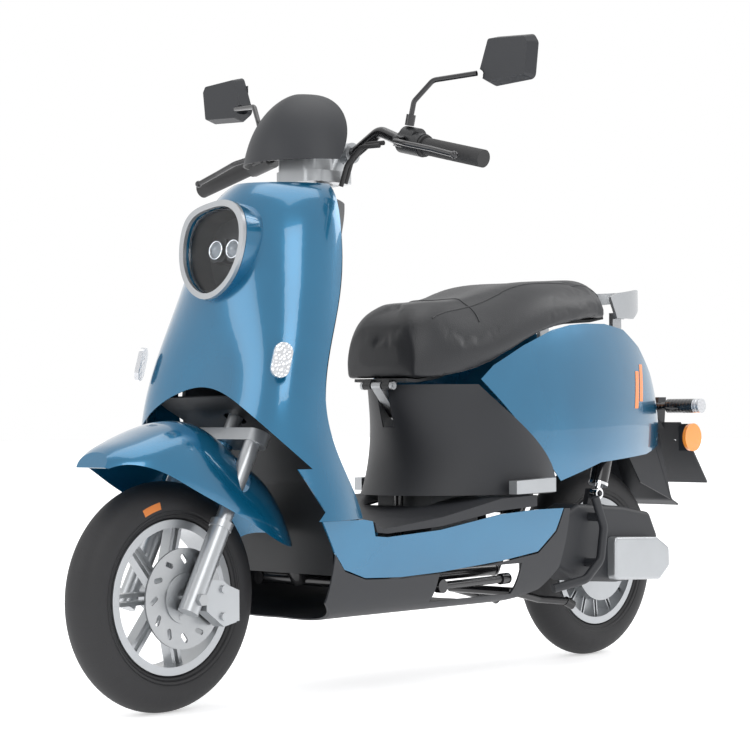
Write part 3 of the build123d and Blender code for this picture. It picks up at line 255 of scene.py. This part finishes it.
def node_chain(material, kind, **settings):
    """Add one shader node and set its plain properties."""
    made = material.node_tree.nodes.new(kind)
    for key, value in settings.items():
        setattr(made, key, value)
    return made


def add_relief(material, pattern, depth, lift):
    """Lay a larger relief over a finish's grain: the pattern is a height socket."""
    tree = material.node_tree
    shader = tree.nodes["Principled BSDF"]
    old = shader.inputs["Normal"].links[0].from_socket
    relief = tree.nodes.new("ShaderNodeBump")
    relief.inputs["Strength"].default_value = depth
    relief.inputs["Distance"].default_value = lift
    tree.links.new(old, relief.inputs["Normal"])
    tree.links.new(pattern, relief.inputs["Height"])
    tree.links.new(relief.outputs["Normal"], shader.inputs["Normal"])


def wheel_angle(material, axle_x, axle_z):
    """Polar place round a wheel's axle: an angle in turns, and a distance in metres."""
    tree = material.node_tree
    link = tree.links.new
    place = node_chain(material, "ShaderNodeTexCoord")
    parts = node_chain(material, "ShaderNodeSeparateXYZ")
    link(place.outputs["Object"], parts.inputs[0])
    dx = node_chain(material, "ShaderNodeMath", operation="SUBTRACT")
    dx.inputs[1].default_value = axle_x
    dz = node_chain(material, "ShaderNodeMath", operation="SUBTRACT")
    dz.inputs[1].default_value = axle_z
    link(parts.outputs["X"], dx.inputs[0])
    link(parts.outputs["Z"], dz.inputs[0])
    angle = node_chain(material, "ShaderNodeMath", operation="ARCTAN2")
    link(dz.outputs[0], angle.inputs[0])
    link(dx.outputs[0], angle.inputs[1])
    flat = node_chain(material, "ShaderNodeCombineXYZ")
    link(dx.outputs[0], flat.inputs[0])
    link(dz.outputs[0], flat.inputs[1])
    reach = node_chain(material, "ShaderNodeVectorMath", operation="LENGTH")
    link(flat.outputs[0], reach.inputs[0])
    return angle.outputs[0], reach.outputs["Value"], parts.outputs["Y"]


def math_node(material, operation, first, second):
    """One sum on sockets or plain numbers."""
    made = node_chain(material, "ShaderNodeMath", operation=operation)
    for index, value in enumerate((first, second)):
        if isinstance(value, (int, float)):
            made.inputs[index].default_value = value
        else:
            material.node_tree.links.new(value, made.inputs[index])
    return made.outputs[0]


def dress(material, *names):
    """Give a finish to CAD nodes, in every material slot they have."""
    for name in names:
        node = nodes[name]
        for index in range(max(1, len(node.data.materials))):
            if node.data.materials:
                node.data.materials[index] = material
            else:
                node.data.materials.append(material)


def mesh_piece(name, verts, faces, material, body):
    """Make a piece from points and faces that travels with one body."""
    mesh = bpy.data.meshes.new(name)
    mesh.from_pydata([tuple(v) for v in verts], [], faces)
    mesh.materials.append(material)
    for polygon in mesh.polygons:
        polygon.use_smooth = True
    piece = new_object(name, mesh)
    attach(piece, body)
    return piece


def sweep(name, path, radius, material, body, sides, closed=False):
    """A round strip laid along a path of points: a sewn seam or a lamp bezel."""
    points = [Vector(p) for p in path]
    verts = []
    faces = []
    count = len(points)
    for i, here in enumerate(points):
        ahead = points[(i + 1) % count] if closed else points[min(i + 1, count - 1)]
        behind = points[i - 1] if closed or i else points[0]
        along = (ahead - behind).normalized()
        across = along.cross(Vector((0, 0, 1)))
        if across.length < 0.05:
            across = along.cross(Vector((1, 0, 0)))
        across.normalize()
        over = across.cross(along)
        for k in range(sides):
            angle = 2 * math.pi * k / sides
            verts.append(here + across * radius * math.cos(angle) + over * radius * math.sin(angle))
    for i in range(count if closed else count - 1):
        for k in range(sides):
            a = i * sides + k
            b = i * sides + (k + 1) % sides
            c = ((i + 1) % count) * sides + (k + 1) % sides
            d = ((i + 1) % count) * sides + k
            faces.append((a, b, c, d))
    if not closed:
        faces.append(tuple(range(sides)))
        faces.append(tuple(range((count - 1) * sides, count * sides))[::-1])
    return mesh_piece(name, verts, faces, material, body)


# Frame and steel parts. Welded tubing, stands, bars and springs in satin black; axles,
# bearings, disc and hinge in bare steel; the shock rods are chromed.
dress(black_metal, "frame", "centre_stand", "side_stand", "handlebar", "mirror_stems", "swingarm")
dress(black_metal, "shock_bodies", "shock_springs", "brake_lever_left", "brake_lever_right")
dress(brushed_steel, "headset_bearings", "brake_disc", "front_axle", "rear_axle", "seat_hinge", "key")
dress(chrome, "shock_rods")
dress(battery_case, "power_pack")

# Body panels. Gloss metallic blue skins over dark grained plastic inner mouldings, with
# satin black plastic and rubber where hands and water reach.
dress(blue_paint, "front_apron", "side_skirts", "side_panels", "tail_cover", "front_fender")
dress(dark_plastic, "leg_shield", "belly_pan", "seat_pedestal", "rear_mudguard", "cowl", "motor_case")
dress(dark_plastic, "mirror_left", "mirror_right", "headlamp_unit")
dress(black_plastic, "arch_liner", "seat_base", "switch_housings")
dress(black_plastic, "horn_button", "starter_button", "turn_switch")
dress(rubber, "grip_left", "throttle_grip", "bar_cables")

# Silver parts and lenses. Painted castings, rims and the lamp's ring; the dash, the lamp
# glass and the amber rear reflectors.
dress(silver_paint, "grab_rail", "headlamp_ring", "fork_uppers", "bar_cover", "fork_sliders", "caliper")
dress(silver_paint, "front_rim", "rear_rim", "case_cover", "footrest_left", "footrest_right")
dress(amber, "rear_lenses")
dress(clear_lens, "headlamp_lens")
dress(screen, "dash_display")
dress(leather, "seat_cushion")

# Tyres. Curved grooves lean back from a plain centre line, with moulded rings on the
# sidewalls: all of it is surface relief. The front has one plain orange band.
tread_blocks = 62
for label, node_name in (("front", "front_tyre"), ("rear", "rear_tyre")):
    tyre_low, tyre_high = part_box(node_name)
    tyre_mid = (tyre_low + tyre_high) / 2
    rubber_skin = finish_material(
        "tyre_" + label, (0.006, 0.006, 0.007), (0.013, 0.013, 0.015), 0.62, 0.07,
        grain_scale=700, grain_depth=0.2,
    )
    turns, reach, across = wheel_angle(rubber_skin, tyre_mid.x, tyre_mid.z)
    width = math_node(rubber_skin, "ABSOLUTE", across, 0)
    lean = math_node(rubber_skin, "MULTIPLY", width, 26)
    phase = math_node(rubber_skin, "ADD", math_node(rubber_skin, "MULTIPLY", turns, tread_blocks / 2), lean)
    wave = math_node(rubber_skin, "SINE", phase, 0)
    groove = math_node(rubber_skin, "GREATER_THAN", wave, 0.55)
    on_crown = math_node(rubber_skin, "GREATER_THAN", reach, 0.172)
    off_centre = math_node(rubber_skin, "GREATER_THAN", width, 0.004)
    cut = math_node(rubber_skin, "MULTIPLY", math_node(rubber_skin, "MULTIPLY", groove, on_crown), off_centre)
    rings = math_node(rubber_skin, "SINE", math_node(rubber_skin, "MULTIPLY", reach, 900), 0)
    low_ring = math_node(rubber_skin, "LESS_THAN", reach, 0.155)
    ring_mask = math_node(rubber_skin, "MULTIPLY", rings, low_ring)
    ring_height = math_node(rubber_skin, "MULTIPLY", ring_mask, 0.25)
    height = math_node(rubber_skin, "SUBTRACT", ring_height, cut)
    add_relief(rubber_skin, height, 1.0, 0.003)
    if label == "front":
        band_reach = math_node(rubber_skin, "MULTIPLY", math_node(rubber_skin, "GREATER_THAN", reach, 0.160),
                               math_node(rubber_skin, "LESS_THAN", reach, 0.173))
        band_angle = math_node(rubber_skin, "MULTIPLY", math_node(rubber_skin, "GREATER_THAN", turns, 1.12),
                               math_node(rubber_skin, "LESS_THAN", turns, 1.36))
        band = math_node(rubber_skin, "MULTIPLY", math_node(rubber_skin, "MULTIPLY", band_reach, band_angle),
                         math_node(rubber_skin, "GREATER_THAN", across, 0))
        shader = rubber_skin.node_tree.nodes["Principled BSDF"]
        colour = shader.inputs["Base Color"].links[0].from_socket
        paint = node_chain(rubber_skin, "ShaderNodeMix", data_type="RGBA")
        paint.inputs[7].default_value = (0.52, 0.16, 0.03, 1)
        rubber_skin.node_tree.links.new(band, paint.inputs[0])
        rubber_skin.node_tree.links.new(colour, paint.inputs[6])
        rubber_skin.node_tree.links.new(paint.outputs[2], shader.inputs["Base Color"])
    dress(rubber_skin, node_name)

# Floorboard. Square tiles in rows over the middle of the deck for grip, shown as
# surface relief.
deck_finish = finish_material("deck_plastic", (0.008, 0.009, 0.012), (0.014, 0.016, 0.020), 0.55, 0.06,
                              grain_scale=1400, grain_depth=0.3)
deck_place = node_chain(deck_finish, "ShaderNodeTexCoord")
deck_parts = node_chain(deck_finish, "ShaderNodeSeparateXYZ")
deck_finish.node_tree.links.new(deck_place.outputs["Object"], deck_parts.inputs[0])
tile_pitch = 0.026
waves = []
for axis in ("X", "Y"):
    turned = math_node(deck_finish, "MULTIPLY", deck_parts.outputs[axis], 2 * math.pi / tile_pitch)
    waves.append(math_node(deck_finish, "GREATER_THAN", math_node(deck_finish, "SINE", turned, 0), -0.55))
tiles = math_node(deck_finish, "MULTIPLY", waves[0], waves[1])
deck_width = math_node(deck_finish, "ABSOLUTE", deck_parts.outputs["Y"], 0)
edge = math_node(deck_finish, "LESS_THAN", deck_width, 0.155)
add_relief(deck_finish, math_node(deck_finish, "MULTIPLY", tiles, edge), 1.0, 0.002)
dress(deck_finish, "floorboard")

# Indicators. Clear stadium lenses in front; behind, black stalks with fine ribs as
# surface relief and a grey end cap.
signal_finish = finish_material("signal_lens", (0.42, 0.43, 0.45), (0.62, 0.63, 0.65), 0.16, 0.04, metal=0.5,
                                grain_scale=160, grain_depth=0.6, grain_lift=0.0008, coat=1.0)
signal_place = node_chain(signal_finish, "ShaderNodeTexCoord")
signal_parts = node_chain(signal_finish, "ShaderNodeSeparateXYZ")
signal_finish.node_tree.links.new(signal_place.outputs["Object"], signal_parts.inputs[0])
signal_shader = signal_finish.node_tree.nodes["Principled BSDF"]
signal_colour = signal_shader.inputs["Base Color"].links[0].from_socket
behind = math_node(signal_finish, "LESS_THAN", signal_parts.outputs["X"], 0)
signal_width = math_node(signal_finish, "ABSOLUTE", signal_parts.outputs["Y"], 0)
stalk = math_node(signal_finish, "LESS_THAN", signal_width, 0.148)
signal_mix = node_chain(signal_finish, "ShaderNodeMix", data_type="RGBA")
signal_mix.inputs[7].default_value = (0.008, 0.008, 0.009, 1)
signal_finish.node_tree.links.new(math_node(signal_finish, "MULTIPLY", behind, stalk), signal_mix.inputs[0])
signal_finish.node_tree.links.new(signal_colour, signal_mix.inputs[6])
signal_finish.node_tree.links.new(signal_mix.outputs[2], signal_shader.inputs["Base Color"])
rib_phase = math_node(signal_finish, "MULTIPLY", signal_parts.outputs["Y"], 700)
ribs = math_node(signal_finish, "SINE", rib_phase, 0)
add_relief(signal_finish, math_node(signal_finish, "MULTIPLY", ribs, behind), 0.6, 0.001)
dress(signal_finish, "indicators")

# Emblem. A plain orange pair of slanted bars, laid on the left and right side panels
# and following their curve.
panel_tree = BVHTree.FromObject(nodes["side_panels"], bpy.context.evaluated_depsgraph_get())
emblem_paint = finish_material("emblem_orange", (0.80, 0.18, 0.02), (0.90, 0.25, 0.03), 0.3, 0.04, coat=0.6,
                               grain_scale=3000, grain_depth=0.1)
for side in (-1, 1):
    for bar, (start_x, foot) in enumerate(((-0.535, 0.535), (-0.562, 0.550))):
        verts = []
        faces = []
        for row in range(9):
            for col in range(5):
                x = start_x - 0.018 * row / 8 - 0.018 * col / 4
                z = foot + 0.080 * row / 8
                hit = panel_tree.ray_cast(Vector((x, side * 0.4, z)), Vector((0, -side, 0)))
                if hit[0]:
                    verts.append(hit[0] + Vector((0, side * 0.0006, 0)))
        if len(verts) == 45:
            for row in range(8):
                for col in range(4):
                    a = row * 5 + col
                    faces.append((a, a + 1, a + 6, a + 5))
            bar_name = "emblem_bar_" + str(bar) + ("_left" if side > 0 else "_right")
            mesh_piece(bar_name, verts, faces, emblem_paint, "chassis")

# Seat cushion. Foam over the base pan under a stretched leather cover: the cover is blown
# up slightly off the foam, then sewn with one cross seam and two long seams.
cover_voxel = 0.006
cover_rise = 0.005
seam_reach = 0.0016
cross_seam_back = 0.165
cross_seam_step = 0.0031
cross_seam_bow = 0.0002
long_seam_half = 0.095
long_seam_narrowing = 0.00001
long_seam_end = 0.05
long_seam_points = 60
cushion_low, cushion_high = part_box("seat_cushion")
cover_mesh = nodes["seat_cushion"].data.copy()
cover_mesh.name = "seat_cover"
cover = new_object("seat_cover", cover_mesh)
remesh = cover.modifiers.new("even", "REMESH")
remesh.mode = "VOXEL"
remesh.voxel_size = cover_voxel
bpy.context.view_layer.update()
even_mesh = bpy.data.meshes.new_from_object(cover.evaluated_get(bpy.context.evaluated_depsgraph_get()))
cover.modifiers.clear()
cover.data = even_mesh
rest_points = [v.co.copy() for v in even_mesh.vertices]
held = cover.vertex_groups.new(name="held")
for vertex in even_mesh.vertices:
    if vertex.normal.z < -0.4:
        held.add([vertex.index], 1.0, "REPLACE")
cloth = cover.modifiers.new("stretch", "CLOTH")
cloth.settings.quality = 5
cloth.settings.mass = 0.3
cloth.settings.use_pressure = True
cloth.settings.uniform_pressure_force = 4
cloth.settings.vertex_group_mass = "held"
cloth.settings.effector_weights.gravity = 0
for step in range(1, 21):
    bpy.context.scene.frame_set(step)
blown = bpy.data.meshes.new_from_object(cover.evaluated_get(bpy.context.evaluated_depsgraph_get()))
cover.modifiers.clear()
for vertex, rest in zip(blown.vertices, rest_points):
    move = vertex.co - rest
    if move.length > cover_rise:
        vertex.co = rest + move.normalized() * cover_rise
cover.data = blown
bpy.context.scene.frame_set(1)
cover.data.materials.clear()
cover.data.materials.append(leather)
for polygon in cover.data.polygons:
    polygon.use_smooth = True
smooth_cover = cover.modifiers.new("smooth", "CORRECTIVE_SMOOTH")
smooth_cover.iterations = 6
cover_finer = cover.modifiers.new("finer", "SUBSURF")
cover_finer.levels = 1
cover_finer.render_levels = 1
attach(cover, "seat")
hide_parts("seat_cushion")

cover_tree = BVHTree.FromObject(cover, bpy.context.evaluated_depsgraph_get())


def on_cover(x, y):
    """The point on the cover straight below a place over it."""
    hit = cover_tree.ray_cast(Vector((x, y, cushion_high.z + 0.05)), Vector((0, 0, -1)))
    return hit[0]


seam_x = cushion_high.x - cross_seam_back
cross_seam = []
for step in range(-40, 41):
    spot = on_cover(seam_x + cross_seam_bow * abs(step), step * cross_seam_step)
    if spot:
        cross_seam.append(spot)
if len(cross_seam) > 8:
    sweep("seat_cross_seam", cross_seam, seam_reach, leather, "seat", 8)
for side in (-1, 1):
    run = []
    for step in range(long_seam_points):
        share = (cushion_high.x - cushion_low.x - 2 * long_seam_end) / (long_seam_points - 1)
        x = cushion_low.x + long_seam_end + step * share
        half = long_seam_half - long_seam_narrowing * step
        spot = on_cover(x, side * half)
        if spot:
            run.append(spot)
    if len(run) > 8:
        sweep("seat_long_seam_" + ("left" if side > 0 else "right"), run, seam_reach, leather, "seat", 8)


# Headlamp internals. Two round projector modules stand side by side in the dark bowl, each
# a chrome bezel round a domed lens.
projector_glass = bpy.data.materials.new("projector_glass")
projector_glass.use_nodes = True
projector_tree = projector_glass.node_tree
projector_shader = projector_tree.nodes["Principled BSDF"]
projector_shader.inputs["Roughness"].default_value = 0.06
projector_shader.inputs["Coat Weight"].default_value = 1.0
projector_noise = projector_tree.nodes.new("ShaderNodeTexNoise")
projector_noise.inputs["Scale"].default_value = 240
projector_ramp = projector_tree.nodes.new("ShaderNodeValToRGB")
projector_ramp.color_ramp.elements[0].color = (0.10, 0.12, 0.14, 1)
projector_ramp.color_ramp.elements[1].color = (0.42, 0.46, 0.50, 1)
projector_tree.links.new(projector_noise.outputs["Fac"], projector_ramp.inputs["Fac"])
projector_tree.links.new(projector_ramp.outputs["Color"], projector_shader.inputs["Base Color"])

lamp_low, lamp_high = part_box("headlamp_unit")
lamp_mid = (lamp_low + lamp_high) / 2
lamp_normal = Vector((math.cos(math.radians(8)), 0, math.sin(math.radians(8))))
lamp_up = Vector((-lamp_normal.z, 0, lamp_normal.x))
lamp_front = Vector((lamp_high.x - 0.034, 0, lamp_mid.z + 0.008))


def dome(name, centre, axis, radius, bulge, material, body, rings=8, sides=36):
    """A domed glass or cap, round, bulging along its axis."""
    axis = Vector(axis).normalized()
    side = Vector((0, 1, 0))
    other = axis.cross(side).normalized()
    verts = []
    faces = []
    for ring in range(rings + 1):
        reach = radius * ring / rings
        lift = bulge * (1 - (ring / rings) ** 2)
        for k in range(sides):
            angle = 2 * math.pi * k / sides
            around = side * reach * math.cos(angle) + other * reach * math.sin(angle)
            verts.append(Vector(centre) + around + axis * lift)
    for ring in range(rings):
        for k in range(sides):
            a = ring * sides + k
            b = ring * sides + (k + 1) % sides
            faces.append((a, b, b + sides, a + sides))
    return mesh_piece(name, verts, faces, material, body)


for side in (-1, 1):
    label = "left" if side > 0 else "right"
    centre = lamp_front + Vector((0, side * 0.023, 0)) + lamp_normal * 0.004
    glass = dome(
        "projector_glass_" + label, centre, lamp_normal, 0.0145, 0.007, projector_glass, "chassis"
    )
    ring = []
    for step in range(48):
        angle = 2 * math.pi * step / 48
        around = Vector((0, 1, 0)) * math.cos(angle) + lamp_up * math.sin(angle)
        ring.append(centre + around * 0.0165)
    bezel = sweep("projector_bezel_" + label, ring, 0.0018, chrome, "chassis", 10, closed=True)

# Mirror glass. A silvered sheet set in the back of each head, with a slightly bowed face.
for side, node_name in ((1, "mirror_left"), (-1, "mirror_right")):
    glass_low, glass_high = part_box(node_name)
    glass_mid = (glass_low + glass_high) / 2
    verts = []
    faces = []
    for row in range(9):
        for col in range(13):
            across_part = (col / 12 - 0.5) * 0.80
            up_part = (row / 8 - 0.5) * 0.62
            bow = 0.0012 * (1 - (2 * across_part) ** 2)
            verts.append((
                glass_low.x - 0.0004 - bow,
                glass_mid.y + across_part * (glass_high.y - glass_low.y),
                glass_mid.z + up_part * (glass_high.z - glass_low.z),
            ))
    for row in range(8):
        for col in range(12):
            a = row * 13 + col
            faces.append((a, a + 1, a + 14, a + 13))
    body = "mirror_l" if side > 0 else "mirror_r"
    mesh_piece("mirror_glass_" + ("left" if side > 0 else "right"), verts, faces, chrome, body)
